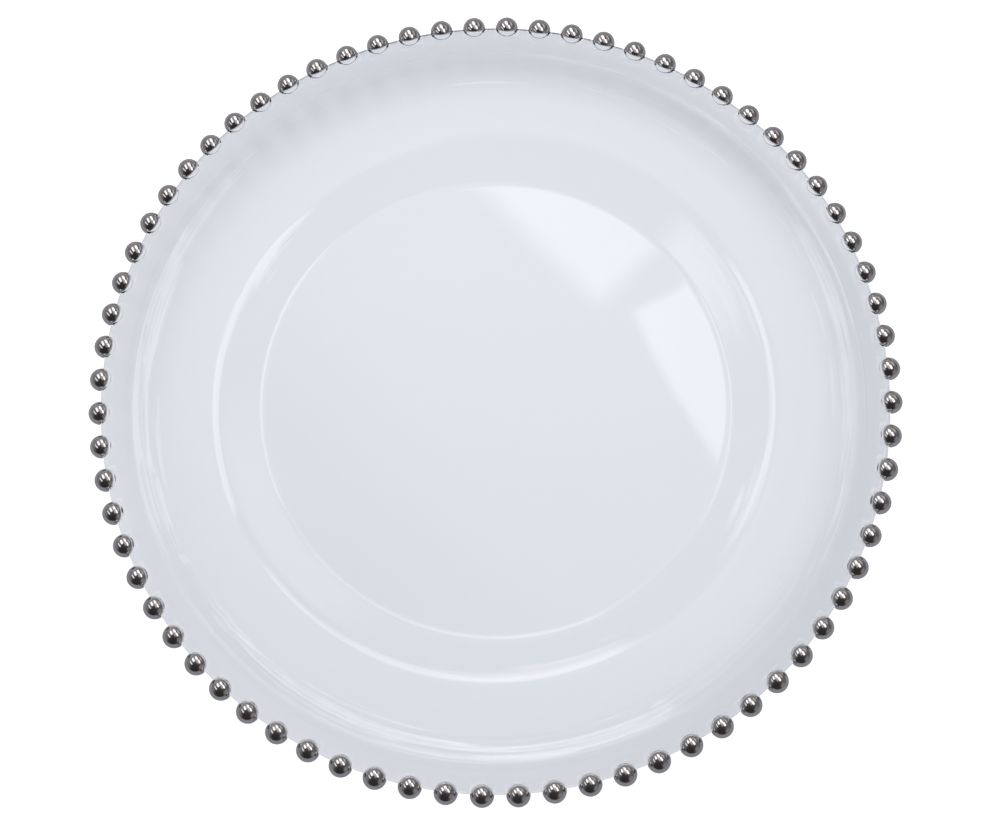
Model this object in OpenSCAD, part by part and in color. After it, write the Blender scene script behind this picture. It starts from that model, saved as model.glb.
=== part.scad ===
// Round charger plate: one pressed clear glass plate with a ball moulded at
// each step round its rim, and a silver cap over every ball.
// Millimetres. +Z is up, and the origin is on the table under the centre.

/* [Plate] */
// Diameter over the silver beads
overall_d = 330; // [300:1:360]
// Thickness of the pressed glass
glass_t = 3.6; // [3:0.1:5]

/* [Well] */
// Diameter at which the line of the wall meets the floor
well_d = 194.8; // [170:0.2:210]
// Height of the shoulder above the floor
well_depth = 10.3; // [7:0.1:14]
// Slope of the wall, from level
wall_angle = 31; // [26:1:45]
// Radius of the round between floor and wall
well_round = 5; // [3:0.5:12]
// Radius of the round over the shoulder
shoulder_round = 20; // [8:1:26]

/* [Flange and rim] */
// Slope of the flange, from level
flange_angle = 10.5; // [7:0.5:14]
// Slope of the rise from the flange to the rim, from level
rise_angle = 27; // [22:1:32]
// Radial width of the rise
rise_w = 6.1; // [5:0.1:8]
// Radius of the round at the foot of the rise
rise_round = 24; // [16:1:30]
// Radius of the round over the crest of the rise
crest_round = 8; // [6:0.5:12]
// Slope of the rim outside the crest, from level
rim_angle = 9; // [6:0.5:14]
// Radial width of the rim, from the crest to the glass edge
rim_w = 12.5; // [12:0.5:18]
// Radial width of the thicker band along the edge
band_w = 9.4; // [8:0.1:10]
// Extra thickness of that band, on the underside
band_step = 0.3; // [0.1:0.05:0.6]
// Radius of the polished corners of the glass edge
edge_round = 1.2; // [0.5:0.1:1.5]

/* [Beads] */
// Number of beads round the rim
bead_count = 72; // [36:2:96]
// Diameter of a finished bead, over its silver
bead_d = 9.4; // [8:0.1:10.5]
// Distance from the glass edge out to the centres of the beads
bead_out = 0.3; // [0:0.05:1]
// Thickness of the silver cap
coat_t = 0.3; // [0.2:0.05:0.5]
// Clearance between a silver cap and the glass ball in it
coat_gap = 0.02; // [0:0.01:0.05]
// How far the silver runs past the bead's highest point, towards the well
coat_lip = 46; // [35:1:50]
// How far from the bead's lowest point the silver ends, on the outer side
coat_end = 32; // [20:1:45]
// How far the glass balls reach in under the rim
ball_under = 1.2; // [0.6:0.1:2]

/* [Hidden] */
// Beads that share one node
beads_per_node = 2;
// Straight pieces in each round of the section, and in the small rounds of the edge
round_steps = 6;
edge_steps = 3;
// Length of the ramp into the thicker band
band_ramp = 0.8;
// How far a cut runs past what it cuts
overrun = 1;

glass_colour = [0.86, 0.89, 0.92];
silver_colour = [0.66, 0.65, 0.66];

// Beads
bead_r = bead_d / 2;
core_r = bead_r - coat_t;
ring_r = overall_d / 2 - bead_r;
bead_pitch = 360 / bead_count;
node_count = bead_count / beads_per_node;

// Corners of the upper surface, as [radius, height], from the floor outwards
edge_r = ring_r - bead_out;
crest_r = edge_r - rim_w;
rise_r = crest_r - rise_w;
well_r = well_d / 2;
floor_z = glass_t;
shoulder_r = well_r + well_depth / tan(wall_angle);
shoulder_z = floor_z + well_depth;
rise_z = shoulder_z + (rise_r - shoulder_r) * tan(flange_angle);
crest_z = rise_z + rise_w * tan(rise_angle);
edge_z = crest_z + rim_w * tan(rim_angle);

centre_top = [0, floor_z];
well_top = [well_r, floor_z];
shoulder_top = [shoulder_r, shoulder_z];
rise_top = [rise_r, rise_z];
crest_top = [crest_r, crest_z];
edge_top = [edge_r, edge_z];

// The underside lies one glass thickness below, measured square to the surface, and the
// plate stands on the flat under its floor
centre_under = [0, 0];
well_under = under(well_top, 0, wall_angle);
shoulder_under = under(shoulder_top, wall_angle, flange_angle);
rise_under = under(rise_top, flange_angle, rise_angle);
crest_under = under(crest_top, rise_angle, rim_angle);
band_r = edge_r - band_w;
band_under = [band_r, rim_under_z(band_r)];
step_under = [band_r + band_ramp, rim_under_z(band_r + band_ramp) - band_step];
edge_under = [edge_r, rim_under_z(edge_r) - band_step];

// Height of the beads' centres: the middle of the glass edge
bead_z = (edge_top.y + edge_under.y) / 2;

// Rounded corners of the glass edge, shared by the plate and by the slot in each cap
edge_corners = concat(
    round_corner(crest_top, edge_top, edge_under, edge_round, edge_steps),
    round_corner(edge_top, edge_under, step_under, edge_round, edge_steps));

plate_outline = concat(
    [centre_top],
    round_corner(centre_top, well_top, shoulder_top, well_round),
    round_corner(well_top, shoulder_top, rise_top, shoulder_round),
    round_corner(shoulder_top, rise_top, crest_top, rise_round),
    round_corner(rise_top, crest_top, edge_top, crest_round),
    edge_corners,
    [step_under, band_under],
    round_corner(band_under, crest_under, rise_under, crest_round - glass_t),
    round_corner(crest_under, rise_under, shoulder_under, rise_round + glass_t),
    round_corner(rise_under, shoulder_under, well_under, shoulder_round - glass_t),
    round_corner(shoulder_under, well_under, centre_under, well_round + glass_t),
    [centre_under]);

// The outermost stretch of the section, one bead wide
slot_outline = concat(
    [[edge_r - bead_d, edge_z - bead_d * tan(rim_angle)]],
    edge_corners,
    [[edge_r - bead_d, edge_under.y - bead_d * tan(rim_angle)]]);

// Room under the rim that the glass balls leave free
clear_inner_r = edge_r - bead_d;
clear_outer_r = edge_r - ball_under;
clear_outline = [
    [clear_inner_r, rim_under_z(clear_inner_r) + glass_t / 2],
    [clear_outer_r, rim_under_z(clear_outer_r) + glass_t / 2],
    [clear_outer_r, edge_under.y - bead_d],
    [clear_inner_r, edge_under.y - bead_d],
];

// Names the node that holds the n-th group of silver caps
function bead_node(n) = str("silver_beads_", n < 10 ? "0" : "", n);

function unit(v) = v / norm(v);

function turned(v, a) = [v.x * cos(a) - v.y * sin(a), v.x * sin(a) + v.y * cos(a)];

// Point of the underside below an upper corner where slope a meets slope b
function under(p, a, b) =
    p + turned([0, -glass_t / cos((b - a) / 2)], (a + b) / 2);

// Height of the rim's underside at radius r, before the band's extra thickness
function rim_under_z(r) =
    crest_under.y + (r - crest_under.x) * tan(rim_angle);

// Arc of radius r, in straight steps, that rounds corner b on the way from a to c
function round_corner(a, b, c, r, steps = round_steps) =
    let (
        back = unit(a - b),
        on = unit(c - b),
        half = acos(back * on) / 2,
        centre = b + unit(back + on) * r / sin(half),
        start = b + back * r / tan(half),
        side = sign(cross(b - a, c - b)),
        sweep = side * (180 - 2 * half)
    )
    [for (i = [0 : steps]) centre + turned(start - centre, sweep * i / steps)];

// Places its children at the centre of the k-th bead, with X pointing outwards
module at_bead(k) {
    rotate(k * bead_pitch)
        translate([ring_r, 0, bead_z])
            children();
}

// The pressed glass: floor, wall, shoulder, flange, rim and the ball in each bead
module glass_plate() {
    color(glass_colour)
        union() {
            rotate_extrude($fn = 180)
                polygon(plate_outline);
            difference() {
                for (k = [0 : bead_count - 1])
                    at_bead(k)
                        sphere(r = core_r, $fn = 48);
                rotate_extrude($fn = 180)
                    polygon(clear_outline);
            }
        }
}

// Thin round shell about the origin, turned about Y from its end under the bead, out
// and over the top, to the lip on the side of the well
module cap_shell() {
    rotate([90, 0, 0])
        rotate(coat_end - 90)
            rotate_extrude(angle = 180 + coat_lip - coat_end, $fn = 48)
                intersection() {
                    difference() {
                        circle(r = bead_r, $fn = 48);
                        circle(r = core_r + coat_gap, $fn = 48);
                    }
                    translate([0, -bead_r - overrun])
                        square([bead_r + overrun, bead_d + 2 * overrun]);
                }
}

// Silver cap of the k-th bead, open towards the well, with a slot for the glass edge
module silver_cap(k) {
    difference() {
        at_bead(k)
            cap_shell();
        rotate_extrude($fn = 180)
            polygon(slot_outline);
    }
}

// The silver caps of one node, side by side
module silver_beads(n) {
    color(silver_colour)
        for (k = [(n - 1) * beads_per_node : n * beads_per_node - 1])
            silver_cap(k);
}

glass_plate();
for (n = [1 : node_count])
    silver_beads(n);
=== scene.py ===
"""Looks of a clear glass charger plate whose rim is edged with silver-capped glass beads.

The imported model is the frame. This file makes the pressed glass plate with its moulded
glass balls, the silver caps over them, and a small studio with strip lights.
"""

import math

import bpy
import numpy as np
from bpy.props import FloatProperty, FloatVectorProperty, IntProperty, PointerProperty
from mathutils import Matrix, Vector


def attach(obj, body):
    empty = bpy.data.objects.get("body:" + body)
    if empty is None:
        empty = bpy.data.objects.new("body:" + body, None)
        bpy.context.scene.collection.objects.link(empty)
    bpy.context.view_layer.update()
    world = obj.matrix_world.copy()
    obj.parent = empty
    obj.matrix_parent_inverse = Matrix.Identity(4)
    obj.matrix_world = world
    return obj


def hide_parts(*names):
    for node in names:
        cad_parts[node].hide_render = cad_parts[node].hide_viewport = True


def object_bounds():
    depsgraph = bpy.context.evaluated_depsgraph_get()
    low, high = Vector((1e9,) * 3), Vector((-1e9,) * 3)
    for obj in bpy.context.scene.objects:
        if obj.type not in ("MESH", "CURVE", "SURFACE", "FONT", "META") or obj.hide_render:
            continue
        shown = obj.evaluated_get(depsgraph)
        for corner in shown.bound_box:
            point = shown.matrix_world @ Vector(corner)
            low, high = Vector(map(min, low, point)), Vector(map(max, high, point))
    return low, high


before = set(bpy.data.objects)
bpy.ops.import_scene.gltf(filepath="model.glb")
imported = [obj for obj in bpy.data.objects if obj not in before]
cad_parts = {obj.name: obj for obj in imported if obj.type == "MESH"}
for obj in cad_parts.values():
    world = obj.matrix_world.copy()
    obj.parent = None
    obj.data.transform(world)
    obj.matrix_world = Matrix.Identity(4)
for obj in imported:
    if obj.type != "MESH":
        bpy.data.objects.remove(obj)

bl_info = {
    "name": "Beaded glass charger plate",
    "version": (1, 0, 0),
    "blender": (4, 5, 0),
    "location": "3D View > Sidebar > Charger plate",
    "description": "Makes a pressed glass charger plate with silver-capped beads round its rim",
    "category": "Object",
}

MM = 0.001
CAD_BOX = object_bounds()
CAP_NODES = sorted(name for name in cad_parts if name.startswith("silver_beads"))
OVERALL_D = CAD_BOX[1].x - CAD_BOX[0].x


def length(value_mm, name, description):
    """A size in metres, given here in millimetres."""
    return FloatProperty(
        name=name,
        description=description,
        default=value_mm * MM,
        min=0.0,
        precision=5,
        unit="LENGTH",
        subtype="DISTANCE",
    )


def angle(value_deg, name, description):
    return FloatProperty(
        name=name,
        description=description,
        default=math.radians(value_deg),
        unit="ROTATION",
        subtype="ANGLE",
    )


def share(value, name, description):
    return FloatProperty(name=name, description=description, default=value, min=0.0, max=1.0)


def colour(value, name, description):
    return FloatVectorProperty(
        name=name,
        description=description,
        default=value,
        size=3,
        min=0.0,
        max=1.0,
        subtype="COLOR",
    )


class PlateSizes(bpy.types.PropertyGroup):
    """The section of the pressed glass plate"""

    overall_d: FloatProperty(
        name="Overall diameter",
        description="Diameter over the silver beads",
        default=OVERALL_D,
        unit="LENGTH",
        subtype="DISTANCE",
    )
    glass_t: length(3.6, "Glass thickness", "Thickness of the pressed glass")
    well_d: length(194.8, "Well diameter", "Where the line of the wall meets the floor")
    well_depth: length(10.3, "Well depth", "Height of the shoulder above the floor")
    wall_angle: angle(31.0, "Wall slope", "Slope of the wall, from level")
    well_round: length(5.0, "Well round", "Radius between floor and wall")
    shoulder_round: length(20.0, "Shoulder round", "Radius over the shoulder")
    flange_angle: angle(10.5, "Flange slope", "Slope of the flange, from level")
    rise_angle: angle(27.0, "Rise slope", "Slope of the rise from flange to rim, from level")
    rise_w: length(6.1, "Rise width", "Radial width of the rise")
    rise_round: length(24.0, "Rise round", "Radius at the foot of the rise")
    crest_round: length(8.0, "Crest round", "Radius over the crest of the rise")
    rim_angle: angle(9.0, "Rim slope", "Slope of the rim, from level")
    rim_w: length(12.5, "Rim width", "From the crest to the glass edge")
    band_w: length(9.4, "Band width", "Width of the thicker band along the edge")
    band_step: length(0.3, "Band step", "Extra thickness of that band")
    band_ramp: length(0.8, "Band ramp", "Length of the ramp into that band")
    edge_round: length(1.2, "Edge round", "Radius of the polished corners of the edge")
    wave_h: length(0.14, "Mould wave", "Height of the faint waves along the rise")
    steps_round: IntProperty(
        name="Steps round", description="Straight pieces round the plate", default=360, min=36
    )


class BeadSizes(bpy.types.PropertyGroup):
    """The moulded glass balls and their silver caps"""

    count: IntProperty(name="Beads", description="Beads round the rim", default=72, min=3)
    bead_d: length(9.4, "Bead diameter", "Diameter over the silver")
    bead_out: length(0.3, "Bead offset", "From the glass edge out to the beads' centres")
    coat_t: length(0.3, "Silver thickness", "Thickness of the silver cap")
    coat_gap: length(0.02, "Silver clearance", "Between a cap and its glass ball")
    lip: angle(48.0, "Silver lip", "How far the silver runs past the top, towards the well")
    drift: angle(6.5, "Lip drift", "How much further it runs on one side of the plate")
    end: angle(32.0, "Silver end", "How far from the lowest point the silver ends, outside")
    ball_under: length(1.2, "Ball reach", "How far the glass balls reach in under the rim")


class Finishes(bpy.types.PropertyGroup):
    """Colours and softness of the glass and the silver"""

    glass: colour((0.955, 0.972, 0.985), "Glass", "Tint of the clear glass")
    silver: colour((0.74, 0.725, 0.72), "Silver", "Colour of the bright silver")
    silver_dull: share(0.07, "Silver softness", "Roughness of the silver")
    glass_dull: share(0.012, "Glass softness", "Roughness of the fire-polished glass")


class Studio(bpy.types.PropertyGroup):
    """The floor and the light"""

    floor: colour((0.885, 0.887, 0.90), "Floor", "Colour of the pale floor")
    light_h: FloatProperty(
        name="Light height",
        description="Height of the strip lights above the beads",
        default=0.6,
        unit="LENGTH",
        subtype="DISTANCE",
    )
    ambient: share(0.735, "Soft light", "Level of the light from all round")


# Shapes


def unit(v):
    return v / np.linalg.norm(v)


def turned(v, a):
    cos, sin = math.cos(a), math.sin(a)
    return np.array([v[0] * cos - v[1] * sin, v[0] * sin + v[1] * cos])


def round_corner(a, b, c, radius, steps):
    """Points of the arc that rounds corner b on the way from a to c."""
    back, on = unit(a - b), unit(c - b)
    half = math.acos(float(back @ on)) / 2
    centre = b + unit(back + on) * radius / math.sin(half)
    start = b + back * radius / math.tan(half)
    side = np.sign((b - a)[0] * (c - b)[1] - (b - a)[1] * (c - b)[0])
    sweep = side * (math.pi - 2 * half)
    return [centre + turned(start - centre, sweep * i / steps) for i in range(steps + 1)]


def spaced(points, longest, lead):
    """The same outline, with its long straight stretches cut up and a short lead at each end."""
    out = [points[0]]
    for p, q in zip(points, points[1:]):
        span = float(np.linalg.norm(q - p))
        if span > 4 * lead:
            count = max(1, round((span - 2 * lead) / longest))
            cuts = [lead + (span - 2 * lead) * i / count for i in range(count + 1)]
            out += [p + (q - p) * cut / span for cut in cuts]
        out.append(q)
    return out


# Straight pieces in each round of the section, on top and underneath
ROUND_STEPS = {
    "well": 10,
    "shoulder": 10,
    "rise": 10,
    "crest": 6,
    "edge": 5,
    "band": 3,
    "low_crest": 5,
    "low_rise": 8,
    "low_shoulder": 10,
    "low_well": 8,
}

# Widest step between rings of the mesh, and the short step at each end of a straight stretch
RING_GAP, RING_LEAD = 3.2 * MM, 0.6 * MM


def plate_section(s, beads):
    """The glass outline as [radius, height], from the centre of the top, out and back underneath.

    With it come the radius of the bead ring, the height of its beads, and the radius at which
    the flange meets the rise."""
    ring_r = s.overall_d / 2 - beads.bead_d / 2
    edge_r = ring_r - beads.bead_out
    crest_r = edge_r - s.rim_w
    rise_r = crest_r - s.rise_w
    well_r = s.well_d / 2
    floor_z = s.glass_t
    shoulder_r = well_r + s.well_depth / math.tan(s.wall_angle)
    shoulder_z = floor_z + s.well_depth
    rise_z = shoulder_z + (rise_r - shoulder_r) * math.tan(s.flange_angle)
    crest_z = rise_z + s.rise_w * math.tan(s.rise_angle)
    edge_z = crest_z + s.rim_w * math.tan(s.rim_angle)

    def under(p, a, b):
        drop = np.array([0, -s.glass_t / math.cos((b - a) / 2)])
        return p + turned(drop, (a + b) / 2)

    top = {
        "centre": np.array([0, floor_z]),
        "well": np.array([well_r, floor_z]),
        "shoulder": np.array([shoulder_r, shoulder_z]),
        "rise": np.array([rise_r, rise_z]),
        "crest": np.array([crest_r, crest_z]),
        "edge": np.array([edge_r, edge_z]),
    }
    low_well = under(top["well"], 0, s.wall_angle)
    low_shoulder = under(top["shoulder"], s.wall_angle, s.flange_angle)
    low_rise = under(top["rise"], s.flange_angle, s.rise_angle)
    low_crest = under(top["crest"], s.rise_angle, s.rim_angle)

    def low_rim(r):
        return low_crest[1] + (r - low_crest[0]) * math.tan(s.rim_angle)

    band_r = edge_r - s.band_w
    ramp_r = band_r + s.band_ramp
    band = np.array([band_r, low_rim(band_r)])
    step = np.array([ramp_r, low_rim(ramp_r) - s.band_step])
    low_edge = np.array([edge_r, low_rim(edge_r) - s.band_step])
    centre_under = np.array([0, 0])

    steps = ROUND_STEPS
    ramp_round = s.band_ramp / 3
    outline = [top["centre"]]
    outline += round_corner(
        top["centre"], top["well"], top["shoulder"], s.well_round, steps["well"]
    )
    outline += round_corner(
        top["well"], top["shoulder"], top["rise"], s.shoulder_round, steps["shoulder"]
    )
    outline += round_corner(top["shoulder"], top["rise"], top["crest"], s.rise_round, steps["rise"])
    outline += round_corner(top["rise"], top["crest"], top["edge"], s.crest_round, steps["crest"])
    outline += round_corner(top["crest"], top["edge"], low_edge, s.edge_round, steps["edge"])
    outline += round_corner(top["edge"], low_edge, step, s.edge_round, steps["edge"])
    outline += round_corner(low_edge, step, band, ramp_round, steps["band"])
    outline += round_corner(step, band, low_crest, ramp_round, steps["band"])
    outline += round_corner(
        band, low_crest, low_rise, s.crest_round - s.glass_t, steps["low_crest"]
    )
    outline += round_corner(
        low_crest, low_rise, low_shoulder, s.rise_round + s.glass_t, steps["low_rise"]
    )
    outline += round_corner(
        low_rise, low_shoulder, low_well, s.shoulder_round - s.glass_t, steps["low_shoulder"]
    )
    outline += round_corner(
        low_shoulder, low_well, centre_under, s.well_round + s.glass_t, steps["low_well"]
    )
    outline.append(centre_under)
    bead_z = (edge_z + low_edge[1]) / 2
    return outline, ring_r, bead_z, rise_r


# Mould waves: share of their height, turns round the plate, phase
WAVES = [(0.40, 23, 0.4), (0.30, 37, 2.1), (0.22, 61, 4.0), (0.25, 11, 1.3), (0.12, 89, 5.2)]


def wave(r, theta, s, rise_r):
    """Height of the faint waves that the mould leaves on the top along the rise."""
    swell = sum(part * np.sin(theta * turns + phase) for part, turns, phase in WAVES)
    return s.wave_h * swell * np.exp(-(((r - rise_r) / s.rise_w) ** 2))


def lathe_mesh(name, outline, steps, lift=None):
    """A closed round solid from an outline that starts and ends on the axis."""
    rings = np.array(outline[1:-1])
    count = len(rings)
    theta = np.arange(steps) * 2 * math.pi / steps
    r = np.repeat(rings[:, 0][None, :], steps, 0)
    z = np.repeat(rings[:, 1][None, :], steps, 0)
    if lift is not None:
        z = z + lift(r, theta[:, None])
    x = r * np.cos(theta)[:, None]
    y = r * np.sin(theta)[:, None]
    verts = [(0.0, 0.0, outline[0][1]), (0.0, 0.0, outline[-1][1])]
    verts += np.stack([x, y, z], -1).reshape(-1, 3).tolist()
    faces = []
    for i in range(steps):
        here, there = 2 + i * count, 2 + (i + 1) % steps * count
        faces.append((0, here, there))
        faces.append((1, there + count - 1, here + count - 1))
        for j in range(count - 1):
            faces.append((here + j, here + j + 1, there + j + 1, there + j))
    mesh = bpy.data.meshes.new(name)
    mesh.from_pydata(verts, [], faces)
    mesh.shade_smooth()
    return mesh


# Columns across a silver cap, and pieces along each column
CAP_COLUMNS, CAP_ROWS = 18, 24
# Degrees from +X, over the top or underneath, between which an arc can meet the glass rim, and
# how far short of the glass it stops
RIM_FROM, RIM_TO, RIM_SHORT = 60, 240, 0.5


def cap_mesh(name, s, beads):
    """One silver cap about the origin, with X pointing out of the plate and Y along the rim.

    Each column of the shell is an arc about the Y axis. It runs from the silver's end under
    the ball, or from where the glass rim enters the cap, out and over the top to the lip."""
    outer = beads.bead_d / 2
    inner = outer - beads.coat_t + beads.coat_gap
    half_t = (s.glass_t / math.cos(s.rim_angle) + s.band_step) / 2
    slope = math.tan(s.rim_angle)
    columns, rows = CAP_COLUMNS, CAP_ROWS

    def reach(ring, side):
        """How far an arc of this radius runs from +X, over the top or underneath."""
        limit = math.pi / 2 + (beads.lip if side > 0 else -beads.end)
        for degrees in range(RIM_FROM, RIM_TO + 1):
            turn = math.radians(degrees)
            if turn >= limit:
                break
            x, z = ring * math.cos(turn), side * ring * math.sin(turn)
            if x < -beads.bead_out:
                rise = (x + beads.bead_out) * slope
                if rise - half_t < z < rise + half_t:
                    return turn - math.radians(RIM_SHORT)
        return limit

    verts = []
    faces = []

    def shell(radius, flip):
        first = len(verts)
        verts.append((0.0, -radius, 0.0))
        for i in range(1, columns):
            mu = math.pi * i / columns
            ring = radius * math.sin(mu)
            size = outer * math.sin(mu)
            up, down = reach(size, 1), reach(size, -1)
            for j in range(rows + 1):
                turn = -down + (up + down) * j / rows
                verts.append(
                    (ring * math.cos(turn), -radius * math.cos(mu), ring * math.sin(turn))
                )
        verts.append((0.0, radius, 0.0))
        last = len(verts) - 1
        quads = []
        for i in range(columns - 2):
            a = first + 1 + i * (rows + 1)
            b = a + rows + 1
            quads += [(a + j, b + j, b + j + 1, a + j + 1) for j in range(rows)]
        start, end = first + 1, last - rows - 1
        quads += [(first, start + j, start + j + 1) for j in range(rows)]
        quads += [(end + j, last, end + j + 1) for j in range(rows)]
        faces.extend(tuple(reversed(q)) if flip else q for q in quads)
        low = [first] + [first + 1 + i * (rows + 1) for i in range(columns - 1)] + [last]
        high = [first] + [first + 1 + i * (rows + 1) + rows for i in range(columns - 1)] + [last]
        return low, high

    low_out, high_out = shell(outer, False)
    low_in, high_in = shell(inner, True)
    for out_edge, in_edge, flip in ((low_out, low_in, False), (high_out, high_in, True)):
        for k in range(columns):
            quad = (out_edge[k], in_edge[k], in_edge[k + 1], out_edge[k + 1])
            faces.append(tuple(reversed(quad)) if flip else quad)
    mesh = bpy.data.meshes.new(name)
    mesh.from_pydata(verts, [], faces)
    mesh.shade_smooth()
    return mesh


def drift_lips(mesh, beads, ring_r, bead_z):
    """Slide each cap's lip along its ball, because the silver reaches further on one side."""
    places = np.empty(len(mesh.vertices) * 3, dtype=np.float32)
    mesh.vertices.foreach_get("co", places)
    places = places.reshape(beads.count, -1, 3)
    turn = (math.tau * np.arange(beads.count) / beads.count)[:, None]
    cos, sin = np.cos(turn), np.sin(turn)
    out = places[..., 0] * cos + places[..., 1] * sin - ring_r
    along = places[..., 1] * cos - places[..., 0] * sin
    up = places[..., 2] - bead_z
    past = np.clip(np.arctan2(-out, up) / beads.lip, 0, 1) * (up > 0)
    slide = -beads.drift * sin * past * past * (3 - 2 * past)
    out, up = out * np.cos(slide) - up * np.sin(slide), up * np.cos(slide) + out * np.sin(slide)
    places[..., 0] = (ring_r + out) * cos - along * sin
    places[..., 1] = (ring_r + out) * sin + along * cos
    places[..., 2] = bead_z + up
    mesh.vertices.foreach_set("co", places.ravel())
    mesh.update()


# Node trees


def add(tree, kind, inputs=None, **settings):
    """A node of this kind, with its settings and its inputs, each a value or a link."""
    node = tree.nodes.new(kind)
    for key, value in settings.items():
        setattr(node, key, value)
    for key, value in (inputs or {}).items():
        if isinstance(value, bpy.types.NodeSocket):
            tree.links.new(value, node.inputs[key])
        else:
            node.inputs[key].default_value = value
    return node


def maths(tree, operation, a, b=0.0):
    return add(tree, "ShaderNodeMath", {0: a, 1: b}, operation=operation).outputs[0]


def mix_colours(tree, factor, a, b):
    """Colour a carried over to b. The numbers are the colour sockets of a Mix node."""
    node = add(tree, "ShaderNodeMix", data_type="RGBA")
    for socket, value in ((0, factor), (6, a), (7, b)):
        if isinstance(value, bpy.types.NodeSocket):
            tree.links.new(value, node.inputs[socket])
        else:
            node.inputs[socket].default_value = value
    return node.outputs[2]


def new_tree(name, sockets):
    """A Geometry Nodes tree with a geometry in and out and these named inputs."""
    tree = bpy.data.node_groups.new(name, "GeometryNodeTree")
    face = tree.interface
    face.new_socket("Geometry", in_out="INPUT", socket_type="NodeSocketGeometry")
    for title, kind, description in sockets:
        item = face.new_socket(title, in_out="INPUT", socket_type=kind)
        item.description = description
    face.new_socket("Geometry", in_out="OUTPUT", socket_type="NodeSocketGeometry")
    return tree


def points_on_rim(tree, given):
    """Points at the beads' centres, and the turn that faces each outwards."""
    index = add(tree, "GeometryNodeInputIndex").outputs[0]
    turn = maths(tree, "DIVIDE", math.tau, given.outputs["Beads"])
    turn = maths(tree, "MULTIPLY", index, turn)
    where = add(
        tree,
        "ShaderNodeCombineXYZ",
        {
            0: maths(tree, "MULTIPLY", maths(tree, "COSINE", turn), given.outputs["Ring radius"]),
            1: maths(tree, "MULTIPLY", maths(tree, "SINE", turn), given.outputs["Ring radius"]),
            2: given.outputs["Height"],
        },
    ).outputs[0]
    points = add(
        tree,
        "GeometryNodePoints",
        {"Count": given.outputs["Beads"], "Position": where},
    )
    facing = add(tree, "ShaderNodeCombineXYZ", {2: turn})
    return points.outputs[0], facing.outputs[0]


RIM_INPUTS = [
    ("Beads", "NodeSocketInt", "Number of beads round the rim"),
    ("Ring radius", "NodeSocketFloat", "Radius of the circle through the beads' centres"),
    ("Height", "NodeSocketFloat", "Height of the beads' centres"),
]


def caps_tree():
    """Repeats the object's own mesh, one silver cap, at every bead."""
    finish = ("Finish", "NodeSocketMaterial", "Material of the caps")
    tree = new_tree("Silver caps round the rim", RIM_INPUTS + [finish])
    given = add(tree, "NodeGroupInput")
    points, facing = points_on_rim(tree, given)
    placed = add(
        tree,
        "GeometryNodeInstanceOnPoints",
        {"Points": points, "Instance": given.outputs["Geometry"], "Rotation": facing},
    )
    plain = add(tree, "GeometryNodeRealizeInstances", {0: placed.outputs[0]})
    done = add(
        tree,
        "GeometryNodeSetMaterial",
        {"Geometry": plain.outputs[0], "Material": given.outputs["Finish"]},
    )
    add(tree, "NodeGroupOutput", {0: done.outputs[0]})
    return tree


# Pieces round a glass ball and from pole to pole, and how far under its middle it is squashed
BALL_SEGMENTS, BALL_RINGS, SQUASH_FROM = 28, 16, 0.1 * MM


def balls_tree():
    """Joins a glass ball to the object's own mesh, the plate, at every bead."""
    more = [
        ("Ball radius", "NodeSocketFloat", "Radius of a glass ball"),
        ("Reach under rim", "NodeSocketFloat", "How far its lower half reaches in, as a share"),
        ("Finish", "NodeSocketMaterial", "Material of the glass"),
    ]
    tree = new_tree("Glass balls round the rim", RIM_INPUTS + more)
    given = add(tree, "NodeGroupInput")
    points, facing = points_on_rim(tree, given)
    ball = add(
        tree,
        "GeometryNodeMeshUVSphere",
        {"Segments": BALL_SEGMENTS, "Rings": BALL_RINGS, "Radius": given.outputs["Ball radius"]},
    )
    spot = add(tree, "GeometryNodeInputPosition").outputs[0]
    spot = add(tree, "ShaderNodeSeparateXYZ", {0: spot})
    inside = maths(tree, "LESS_THAN", spot.outputs[0], 0.0)
    below = maths(tree, "LESS_THAN", spot.outputs[2], -SQUASH_FROM)
    squash = maths(tree, "SUBTRACT", given.outputs["Reach under rim"], 1.0)
    squash = maths(tree, "MULTIPLY", squash, maths(tree, "MULTIPLY", inside, below))
    shift = add(tree, "ShaderNodeCombineXYZ", {0: maths(tree, "MULTIPLY", spot.outputs[0], squash)})
    shaped = add(
        tree, "GeometryNodeSetPosition", {"Geometry": ball.outputs[0], "Offset": shift.outputs[0]}
    )
    placed = add(
        tree,
        "GeometryNodeInstanceOnPoints",
        {"Points": points, "Instance": shaped.outputs[0], "Rotation": facing},
    )
    plain = add(tree, "GeometryNodeRealizeInstances", {0: placed.outputs[0]})
    joined = add(tree, "GeometryNodeMeshBoolean", operation="UNION", solver="MANIFOLD")
    tree.links.new(given.outputs["Geometry"], joined.inputs["Mesh 2"])
    tree.links.new(plain.outputs[0], joined.inputs["Mesh 2"])
    smooth = add(tree, "GeometryNodeSetShadeSmooth", {"Geometry": joined.outputs[0]})
    done = add(
        tree,
        "GeometryNodeSetMaterial",
        {"Geometry": smooth.outputs[0], "Material": given.outputs["Finish"]},
    )
    add(tree, "NodeGroupOutput", {0: done.outputs[0]})
    return tree


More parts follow.
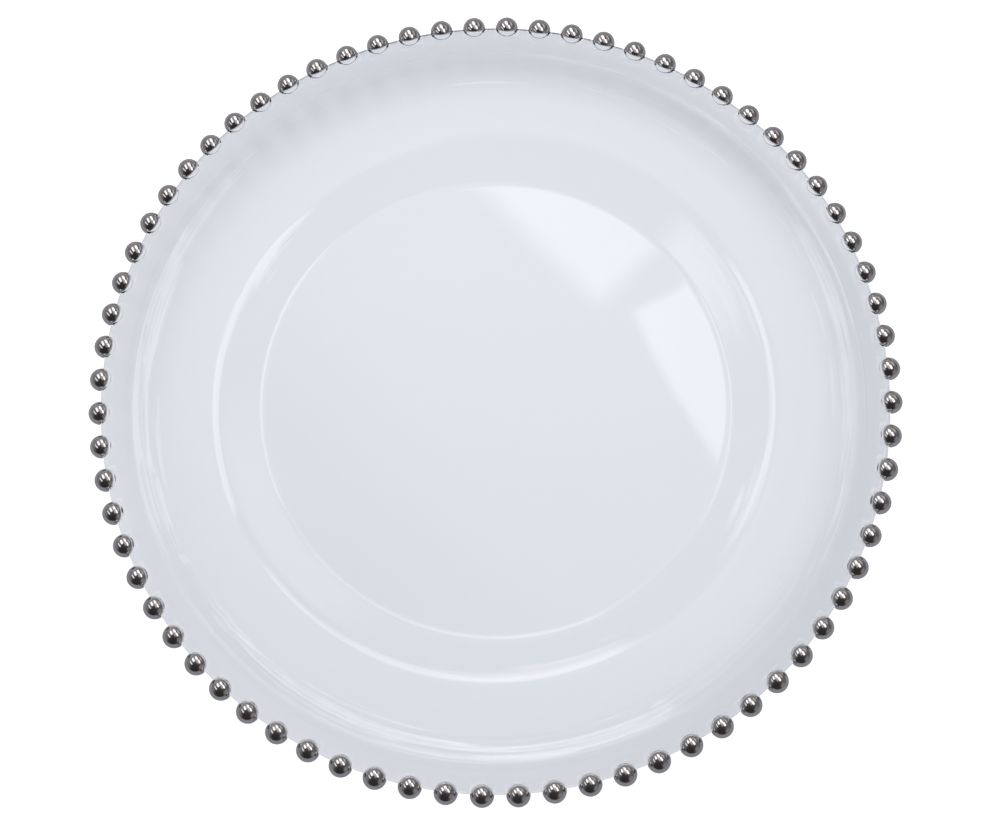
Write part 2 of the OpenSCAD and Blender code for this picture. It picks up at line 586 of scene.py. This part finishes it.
def run_tree(name, mesh, tree, values):
    """Runs the tree on the mesh and returns a plain object that holds the result."""
    source = bpy.data.objects.new(name + "_source", mesh)
    bpy.context.scene.collection.objects.link(source)
    modifier = source.modifiers.new(tree.name, "NODES")
    modifier.node_group = tree
    for item in tree.interface.items_tree:
        if item.in_out == "INPUT" and item.name in values:
            modifier[item.identifier] = values[item.name]
    graph = bpy.context.evaluated_depsgraph_get()
    made = bpy.data.meshes.new_from_object(source.evaluated_get(graph), depsgraph=graph)
    bpy.data.objects.remove(source)
    bpy.data.meshes.remove(mesh)
    made.name = name
    piece = bpy.data.objects.new(name, made)
    bpy.context.scene.collection.objects.link(piece)
    return piece


# Materials

WHITE = (1.0, 1.0, 1.0)

# The glass: how it bends light, and its tint where light goes straight through to the floor
GLASS_IOR = 1.5
SHADOW_TINT = (0.955, 0.965, 0.975, 1.0)

# Noises, as scale and detail, and the tone where the glass is cloudiest
CLOUD_NOISE, CLOUD_TONE = (9.0, 2.0), (0.985, 0.985, 0.985)
GLASS_WEAR = (40.0, 3.0)
SILVER_MOTTLE, SILVER_WEAR = (260.0, 3.0), (700.0, 2.0)
# The levels of a wear noise at which a surface is freshest and most worn
WEAR_LOW, WEAR_HIGH = 0.3, 0.7
# Freshest and most worn roughness, and the tones of the silver's mottle, as shares
GLASS_SOFTNESS, SILVER_SOFTNESS = (0.5, 1.6), (0.6, 1.5)
SILVER_TONES = (0.94, 1.05)
# Bumps, as scale, detail, strength and depth
GLASS_RIPPLE = (26.0, 1.0, 0.35, 0.2 * MM)
GLASS_GRAIN = (420.0, 2.0, 0.05, 0.02 * MM)
SILVER_GRAIN = (900.0, 2.0, 0.12, 0.03 * MM)

# Lines drawn in the glass along the rise: features round the plate, lines per metre, depth
DRAWN_TURNS = 3.5
DRAWN_LINES = 480.0
DRAWN_DEPTH = 0.32 * MM
# Where they lie: out from the foot of the rise, and faintly further in, on the flange
DRAWN_OUT, DRAWN_HALF = 1.0 * MM, 9.0 * MM
FAINT_IN, FAINT_HALF, FAINT_SHARE = 26.0 * MM, 14.0 * MM, 0.25
# Share of each half width in which the lines are full
DRAWN_CORE = 0.3

# Painted shade of the rim, for the beads' shade on the floor seen through it: a faint tone along
# the edge all round, over the thicker band, and the rim's tone where it is greyest, at the far side
EDGE_SHADE_TONE = (0.995, 0.99, 0.995)
FAR_RIM_SHADE = (0.81, 0.82, 0.84)
# Distances in from the bead ring at which the two painted shades begin and are full
EDGE_SHADE_START, EDGE_SHADE_FULL = 12.5 * MM, 9.0 * MM
FAR_SHADE_START, FAR_SHADE_FULL = 29.0 * MM, 11.0 * MM
# The painted shade's weight on the right, against 1 at the far side, and the level at which it ends
FAR_SHADE_RIGHT, FAR_SHADE_CUTOFF = 0.55, -0.25


def object_noise(tree, scale, detail):
    place = add(tree, "ShaderNodeTexCoord").outputs["Object"]
    inputs = {"Vector": place, "Scale": scale, "Detail": detail}
    return add(tree, "ShaderNodeTexNoise", inputs).outputs[0]


def noise_bump(tree, noise, below=None):
    """A bump from a noise given as its scale, detail, strength and depth, over the one below."""
    scale, detail, strength, depth = noise
    inputs = {
        "Strength": strength,
        "Distance": depth,
        "Height": object_noise(tree, scale, detail),
    }
    if below is not None:
        inputs["Normal"] = below
    return add(tree, "ShaderNodeBump", inputs).outputs[0]


def spread(tree, value, low, high, to_low=0.0, to_high=1.0, kind="LINEAR"):
    """The value carried over from one range to another, and held at its ends."""
    node = add(
        tree,
        "ShaderNodeMapRange",
        {"Value": value, "From Min": low, "From Max": high, "To Min": to_low, "To Max": to_high},
        interpolation_type=kind,
    )
    return node.outputs[0]


def near_ring(tree, r, middle, half_width):
    """1 close to the ring of this radius, falling softly to 0 at half_width from it."""
    away = maths(tree, "ABSOLUTE", maths(tree, "SUBTRACT", r, middle))
    return spread(tree, away, half_width, half_width * DRAWN_CORE, kind="SMOOTHSTEP")


def toned(colour_of, factor):
    """The colour times a factor for each of its channels, held at white."""
    return (*[min(1.0, c * f) for c, f in zip(colour_of, factor)], 1.0)


def glass_material(finishes, rise_r, ring_r):
    """Clear pressed glass: mould ripple, drawn lines along the rise, a rim greyed by painted shade
    along the edge and most at the far side, and light let through to the floor."""
    mat = bpy.data.materials.new("clear_pressed_glass")
    mat.use_nodes = True
    tree = mat.node_tree
    tree.nodes.clear()
    tint = finishes.glass
    cloud = object_noise(tree, *CLOUD_NOISE)
    body = mix_colours(tree, cloud, toned(tint, WHITE), toned(tint, CLOUD_TONE))
    place = add(tree, "ShaderNodeTexCoord").outputs["Object"]
    spot = add(tree, "ShaderNodeSeparateXYZ", {0: place})
    flat = add(tree, "ShaderNodeCombineXYZ", {0: spot.outputs[0], 1: spot.outputs[1]}).outputs[0]
    r = add(tree, "ShaderNodeVectorMath", {0: flat}, operation="LENGTH").outputs["Value"]
    way = add(tree, "ShaderNodeVectorMath", {0: flat}, operation="NORMALIZE").outputs[0]
    way = add(tree, "ShaderNodeSeparateXYZ", {0: way})
    # Painted shade: the rim darkens along the edge all round, and most at the far and right sides
    band = spread(tree, r, ring_r - EDGE_SHADE_START, ring_r - EDGE_SHADE_FULL)
    rim = spread(tree, r, ring_r - FAR_SHADE_START, ring_r - FAR_SHADE_FULL)
    side = maths(tree, "MULTIPLY", way.outputs[0], FAR_SHADE_RIGHT)
    side = spread(tree, maths(tree, "MAXIMUM", way.outputs[1], side), FAR_SHADE_CUTOFF, 1.0)
    body = mix_colours(tree, band, body, toned(tint, EDGE_SHADE_TONE))
    body = mix_colours(tree, maths(tree, "MULTIPLY", rim, side), body, toned(tint, FAR_RIM_SHADE))
    drawn = add(
        tree,
        "ShaderNodeCombineXYZ",
        {
            0: maths(tree, "MULTIPLY", way.outputs[0], DRAWN_TURNS),
            1: maths(tree, "MULTIPLY", way.outputs[1], DRAWN_TURNS),
            2: maths(tree, "MULTIPLY", r, DRAWN_LINES),
        },
    ).outputs[0]
    lines = add(
        tree, "ShaderNodeTexNoise", {"Vector": drawn, "Scale": 1.0, "Detail": 0.0}
    ).outputs[0]
    strong = near_ring(tree, r, rise_r + DRAWN_OUT, DRAWN_HALF)
    faint = near_ring(tree, r, rise_r - FAINT_IN, FAINT_HALF)
    amount = maths(tree, "MAXIMUM", strong, maths(tree, "MULTIPLY", faint, FAINT_SHARE))
    lines = maths(tree, "MULTIPLY", lines, amount)
    fresh, worn = [finishes.glass_dull * k for k in GLASS_SOFTNESS]
    dull = spread(tree, object_noise(tree, *GLASS_WEAR), WEAR_LOW, WEAR_HIGH, fresh, worn)
    bump = noise_bump(tree, GLASS_RIPPLE)
    bump = add(
        tree,
        "ShaderNodeBump",
        {"Strength": 1.0, "Distance": DRAWN_DEPTH, "Height": lines, "Normal": bump},
    ).outputs[0]
    bump = noise_bump(tree, GLASS_GRAIN, bump)
    glass = add(
        tree,
        "ShaderNodeBsdfPrincipled",
        {
            "Base Color": body,
            "Roughness": dull,
            "IOR": GLASS_IOR,
            "Transmission Weight": 1.0,
            "Normal": bump,
        },
    )
    clear = add(tree, "ShaderNodeBsdfTransparent", {"Color": SHADOW_TINT})
    path = add(tree, "ShaderNodeLightPath")
    lamp_side = maths(
        tree, "MAXIMUM", path.outputs["Is Shadow Ray"], path.outputs["Is Diffuse Ray"]
    )
    both = add(
        tree, "ShaderNodeMixShader", {0: lamp_side, 1: glass.outputs[0], 2: clear.outputs[0]}
    )
    add(tree, "ShaderNodeOutputMaterial", {"Surface": both.outputs[0]})
    return mat


def silver_material(finishes):
    """Bright silver coat, with a faint mottle in its colour and softness."""
    mat = bpy.data.materials.new("bright_silver")
    mat.use_nodes = True
    tree = mat.node_tree
    tree.nodes.clear()
    silver = finishes.silver
    low, high = [toned(silver, (k, k, k)) for k in SILVER_TONES]
    tone = mix_colours(tree, object_noise(tree, *SILVER_MOTTLE), low, high)
    fresh, worn = [finishes.silver_dull * k for k in SILVER_SOFTNESS]
    dull = spread(tree, object_noise(tree, *SILVER_WEAR), WEAR_LOW, WEAR_HIGH, fresh, worn)
    bump = noise_bump(tree, SILVER_GRAIN)
    metal = add(
        tree,
        "ShaderNodeBsdfPrincipled",
        {"Base Color": tone, "Metallic": 1.0, "Roughness": dull, "Normal": bump},
    )
    add(tree, "ShaderNodeOutputMaterial", {"Surface": metal.outputs[0]})
    return mat


# The floor: its tone in mirrors, darkened as painted shade, its tone straight on, and how far that
# is lifted to white
FLOOR_SHADED_IN_MIRRORS = (0.30, 0.31, 0.335, 1.0)
FLOOR_STRAIGHT = (0.9, 0.9, 0.9, 1.0)
FLOOR_LIFT = 0.3


def floor_material(studio):
    """Pale floor: lit by the lamps, lifted to white where the camera sees it directly, and given a
    much darker colour in mirrors as painted shade.
    """
    mat = bpy.data.materials.new("pale_floor")
    mat.use_nodes = True
    tree = mat.node_tree
    tree.nodes.clear()
    path = add(tree, "ShaderNodeLightPath")
    straight = path.outputs["Is Camera Ray"]
    mirrored = maths(
        tree,
        "MULTIPLY",
        path.outputs["Is Glossy Ray"],
        maths(tree, "SUBTRACT", 1.0, path.outputs["Is Transmission Ray"]),
    )
    # Painted shade: in mirrors the floor takes a far darker colour than straight on or through the
    # glass
    seen = mix_colours(tree, mirrored, (*studio.floor, 1.0), FLOOR_SHADED_IN_MIRRORS)
    seen = mix_colours(tree, straight, seen, FLOOR_STRAIGHT)
    matt = add(tree, "ShaderNodeBsdfDiffuse", {"Color": seen})
    lift = add(
        tree, "ShaderNodeEmission", {"Color": (*WHITE, 1.0), "Strength": FLOOR_LIFT}
    )
    dark = add(tree, "ShaderNodeEmission", {"Strength": 0.0})
    extra = add(
        tree, "ShaderNodeMixShader", {0: straight, 1: dark.outputs[0], 2: lift.outputs[0]}
    )
    total = add(tree, "ShaderNodeAddShader", {0: matt.outputs[0], 1: extra.outputs[0]})
    add(tree, "ShaderNodeOutputMaterial", {"Surface": total.outputs[0]})
    return mat


def lobe(tree, direction, centre, narrow, wide):
    """1 where a direction points at the centre, 0 further than wide degrees from it."""
    aim = Vector(centre).normalized()
    dot = add(
        tree, "ShaderNodeVectorMath", {0: direction, 1: aim}, operation="DOT_PRODUCT"
    ).outputs["Value"]
    low, high = math.cos(math.radians(wide)), math.cos(math.radians(narrow))
    return spread(tree, dot, low, high, kind="SMOOTHSTEP")


# What mirrored rays find round the plate: near the horizon and overhead, and the heights of
# their direction between which the one turns into the other
ROOM_LOW = (0.22, 0.205, 0.205, 1.0)
ROOM_HIGH = (0.075, 0.068, 0.070, 1.0)
ROOM_TURN = (0.34, 0.80)
# What rays through the glass find near the horizon, and the heights where it ends
BACKDROP = (0.95, 0.95, 0.95, 1.0)
BACKDROP_TURN = (0.15, 0.45)
# Tint of the soft light from all round
SOFT_TINT = (0.985, 1.0, 1.03)
# Tone, where it lies as seen from the plate, degrees to its core and to its end
ROOM_LOBES = [
    ((0.30, 0.285, 0.29, 1.0), (-0.25, 0.80, 0.50), 12, 45),
    ((0.14, 0.13, 0.13, 1.0), (0.95, 0.10, 0.30), 10, 45),
    ((0.030, 0.027, 0.027, 1.0), (-0.20, -0.80, 0.45), 20, 65),
    ((0.24, 0.22, 0.23, 1.0), (0.75, -0.60, 0.35), 8, 26),
    ((0.40, 0.385, 0.40, 1.0), (-0.22, 0.50, 0.60), 6, 27),
]


def room_world(studio):
    """Soft light from all round, white behind the plate, and a dim room for mirrored rays."""
    world = bpy.data.worlds.new("studio_room")
    world.use_nodes = True
    tree = world.node_tree
    tree.nodes.clear()
    way = add(tree, "ShaderNodeTexCoord").outputs["Generated"]
    rise = add(tree, "ShaderNodeSeparateXYZ", {0: way}).outputs[2]
    room = mix_colours(tree, spread(tree, rise, *ROOM_TURN), ROOM_LOW, ROOM_HIGH)
    for tone, centre, narrow, wide in ROOM_LOBES:
        room = mix_colours(tree, lobe(tree, way, centre, narrow, wide), room, tone)
    path = add(tree, "ShaderNodeLightPath")
    soft = (*[studio.ambient * c for c in SOFT_TINT], 1.0)
    through = mix_colours(tree, spread(tree, rise, *BACKDROP_TURN), BACKDROP, room)
    seen = mix_colours(tree, path.outputs["Is Glossy Ray"], soft, room)
    seen = mix_colours(tree, path.outputs["Is Transmission Ray"], seen, through)
    seen = mix_colours(tree, path.outputs["Is Diffuse Ray"], seen, soft)
    seen = mix_colours(tree, path.outputs["Is Camera Ray"], seen, (*WHITE, 1.0))
    light = add(tree, "ShaderNodeBackground", {"Color": seen, "Strength": 1.0})
    add(tree, "ShaderNodeOutputWorld", {"Surface": light.outputs[0]})
    return world


# Lights and camera

# Strip lights: name, ends on their plane in metres, width, the share of it that soft edges
# take up, colour, radiance
STRIPS = [
    ("strip_a_near", (0.429, -0.156), (0.214, 0.284), 0.25, 0.1, (1.0, 0.95, 0.955), 1.5),
    ("strip_a_mid", (0.145, 0.276), (-0.073, 0.511), 0.17, 0.3, (1.0, 0.95, 0.955), 1.4),
    ("strip_a_far", (0.04, 0.375), (-0.22, 1.20), 0.36, 0.4, (1.0, 0.95, 0.955), 1.45),
    ("strip_b", (0.80, 0.10), (0.62, 1.45), 0.85, 1.0, (0.99, 0.99, 1.01), 0.5),
    ("strip_c", (-0.25, 0.0), (-0.66, 0.70), 0.27, 0.5, (1.0, 0.99, 1.0), 1.45),
    ("strip_d", (-0.46, -0.30), (-1.10, 0.30), 0.29, 0.8, (0.98, 0.96, 1.01), 1.1),
    ("strip_e", (0.24, -0.19), (-0.10, 0.42), 0.46, 0.7, (1.0, 0.98, 0.99), 0.42),
]

# Each strip hangs this much higher than the one before it, so that no two share a plane
STRIP_STEP = 1.0 * MM

# The camera in the plate's frame: angles in degrees, lengths in radii of the bead ring
CAMERA_ELEVATION = 76.514
CAMERA_ROLL = -1.453
CAMERA_TURN = -1.828
CAMERA_DISTANCE = 4.2749
CAMERA_SLIDE = (0.0124, -0.0643)
# Focal length in widths of the sensor
CAMERA_FOCAL = 1.6872
SENSOR_MM = 36.0
CLIP_END = 50.0

# The round floor: pieces round its edge, radius, and how far it lies under the plate
FLOOR_STEPS, FLOOR_R, FLOOR_DROP = 96, 4.0, 0.3 * MM


def camera_place(ring_r, bead_z):
    """Where the camera stands, aimed past the centre of the bead ring."""
    elevation = math.radians(CAMERA_ELEVATION)
    roll = math.radians(CAMERA_ROLL)
    back = Vector((0, -math.cos(elevation), math.sin(elevation)))
    level = Vector((1, 0, 0))
    up = back.cross(level)
    right = math.cos(roll) * level + math.sin(roll) * up
    upward = -math.sin(roll) * level + math.cos(roll) * up
    place = back * CAMERA_DISTANCE + right * CAMERA_SLIDE[0] + upward * CAMERA_SLIDE[1]
    place = place * ring_r + Vector((0, 0, bead_z))
    axes = Matrix((right, upward, back)).transposed().to_4x4()
    turn = Matrix.Rotation(math.radians(CAMERA_TURN), 4, "Z")
    return turn @ Matrix.Translation(place) @ axes


def soften(lamp, edge):
    """Let a lamp's light fade out over this distance from its edges."""
    lamp.use_nodes = True
    tree = lamp.node_tree
    tree.nodes.clear()
    place = add(tree, "ShaderNodeNewGeometry").outputs["Parametric"]
    place = add(tree, "ShaderNodeSeparateXYZ", {0: place})
    level = 1.0
    for axis, size in enumerate((lamp.size, lamp.size_y)):
        off = maths(tree, "ABSOLUTE", maths(tree, "SUBTRACT", place.outputs[axis], 0.5))
        fade = spread(tree, off, 0.5, 0.5 - edge / size, kind="SMOOTHSTEP")
        level = maths(tree, "MULTIPLY", level, fade)
    glow = add(tree, "ShaderNodeEmission", {"Strength": level})
    add(tree, "ShaderNodeOutputLight", {0: glow.outputs[0]})


def hang_strip(scene, lamp, start, end, height):
    """Hang a strip light between two points of its plane, facing down.

    The plane is turned with the camera, so that its X runs to the right of the picture."""
    turn = Matrix.Rotation(math.radians(CAMERA_TURN), 4, "Z")
    a, b = Vector((*start, height)), Vector((*end, height))
    along = (b - a).normalized()
    holder = bpy.data.objects.new(lamp.name, lamp)
    scene.collection.objects.link(holder)
    down = Vector((0, 0, -1))
    across = along.cross(down)
    axes = Matrix((along, across, -down)).transposed().to_4x4()
    holder.matrix_world = turn @ Matrix.Translation((a + b) / 2) @ axes
    holder.visible_camera = False


# Operators


class CHARGER_OT_studio(bpy.types.Operator):
    """Lay the floor, hang the strip lights and set up the camera"""

    bl_idname = "charger.studio"
    bl_label = "Studio"

    def execute(self, context):
        scene = context.scene
        studio = scene.charger_studio
        _, ring_r, bead_z, _ = plate_section(scene.charger_plate, scene.charger_beads)
        scene.view_settings.view_transform = "Standard"
        scene.world = room_world(studio)

        turns = [math.tau * i / FLOOR_STEPS for i in range(FLOOR_STEPS)]
        ring = [(FLOOR_R * math.cos(t), FLOOR_R * math.sin(t), -FLOOR_DROP) for t in turns]
        mesh = bpy.data.meshes.new("floor")
        mesh.from_pydata(ring, [], [tuple(range(FLOOR_STEPS))])
        mesh.materials.append(floor_material(studio))
        floor = bpy.data.objects.new("floor", mesh)
        scene.collection.objects.link(floor)

        for k, (name, start, end, width, soft, tone, radiance) in enumerate(STRIPS):
            lamp = bpy.data.lights.new(name, "AREA")
            lamp.shape = "RECTANGLE"
            lamp.size = math.dist(start, end)
            lamp.size_y = width
            lamp.color = tone
            # The power of a lamp that is evenly this bright
            lamp.energy = math.pi * lamp.size * lamp.size_y * radiance
            soften(lamp, soft * width / 2)
            hang_strip(scene, lamp, start, end, bead_z + studio.light_h + k * STRIP_STEP)

        camera = bpy.data.cameras.new("camera")
        camera.sensor_width = SENSOR_MM
        camera.lens = SENSOR_MM * CAMERA_FOCAL
        camera.clip_end = CLIP_END
        holder = bpy.data.objects.new("camera", camera)
        scene.collection.objects.link(holder)
        holder.matrix_world = camera_place(ring_r, bead_z)
        scene.camera = holder
        return {"FINISHED"}


class CHARGER_OT_glass(bpy.types.Operator):
    """Make the pressed glass plate with its moulded glass balls"""

    bl_idname = "charger.glass"
    bl_label = "Glass plate"

    def execute(self, context):
        scene = context.scene
        sizes, beads = scene.charger_plate, scene.charger_beads
        outline, ring_r, bead_z, rise_r = plate_section(sizes, beads)
        outline = spaced(outline, RING_GAP, RING_LEAD)
        top_end = len(outline) // 2
        mesh = lathe_mesh(
            "plate",
            outline,
            sizes.steps_round,
            lambda r, theta: wave(r, theta, sizes, rise_r) * (np.arange(r.shape[1]) < top_end),
        )
        mat = glass_material(scene.charger_finishes, rise_r, ring_r)
        ball_r = beads.bead_d / 2 - beads.coat_t
        values = {
            "Beads": beads.count,
            "Ring radius": ring_r,
            "Height": bead_z,
            "Ball radius": ball_r,
            "Reach under rim": (beads.ball_under + beads.bead_out) / ball_r,
            "Finish": mat,
        }
        piece = run_tree("glass_plate_clear", mesh, balls_tree(), values)
        if len(piece.data.polygons) < len(outline) * sizes.steps_round:
            raise RuntimeError("the glass balls didn't join the plate")
        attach(piece, "root")
        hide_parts("glass_plate")
        return {"FINISHED"}


class CHARGER_OT_caps(bpy.types.Operator):
    """Make the silver caps over the glass balls"""

    bl_idname = "charger.caps"
    bl_label = "Silver caps"

    def execute(self, context):
        scene = context.scene
        sizes, beads = scene.charger_plate, scene.charger_beads
        _, ring_r, bead_z, _ = plate_section(sizes, beads)
        mat = silver_material(scene.charger_finishes)
        values = {"Beads": beads.count, "Ring radius": ring_r, "Height": bead_z, "Finish": mat}
        cap = cap_mesh("cap", sizes, beads)
        piece = run_tree("silver_caps", cap, caps_tree(), values)
        drift_lips(piece.data, beads, ring_r, bead_z)
        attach(piece, "root")
        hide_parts(*CAP_NODES)
        return {"FINISHED"}


class CHARGER_PT_panel(bpy.types.Panel):
    """Sizes, finishes and steps of the charger plate"""

    bl_idname = "CHARGER_PT_panel"
    bl_label = "Charger plate"
    bl_space_type = "VIEW_3D"
    bl_region_type = "UI"
    bl_category = "Charger plate"

    def draw(self, context):
        for group in GROUPS:
            box = self.layout.box()
            holder = getattr(context.scene, group)
            for key in holder.__annotations__:
                box.prop(holder, key)
        for step in STEPS:
            self.layout.operator(step)


GROUPS = {
    "charger_plate": PlateSizes,
    "charger_beads": BeadSizes,
    "charger_finishes": Finishes,
    "charger_studio": Studio,
}
STEPS = ["charger.studio", "charger.glass", "charger.caps"]
CLASSES = [
    *GROUPS.values(),
    CHARGER_OT_studio,
    CHARGER_OT_glass,
    CHARGER_OT_caps,
    CHARGER_PT_panel,
]


def register():
    for each in CLASSES:
        bpy.utils.register_class(each)
    for name, group in GROUPS.items():
        setattr(bpy.types.Scene, name, PointerProperty(type=group))


def unregister():
    for name in GROUPS:
        delattr(bpy.types.Scene, name)
    for each in reversed(CLASSES):
        bpy.utils.unregister_class(each)


def main():
    register()
    bpy.ops.charger.studio()
    bpy.ops.charger.glass()
    bpy.ops.charger.caps()


if __name__ == "__main__":
    main()
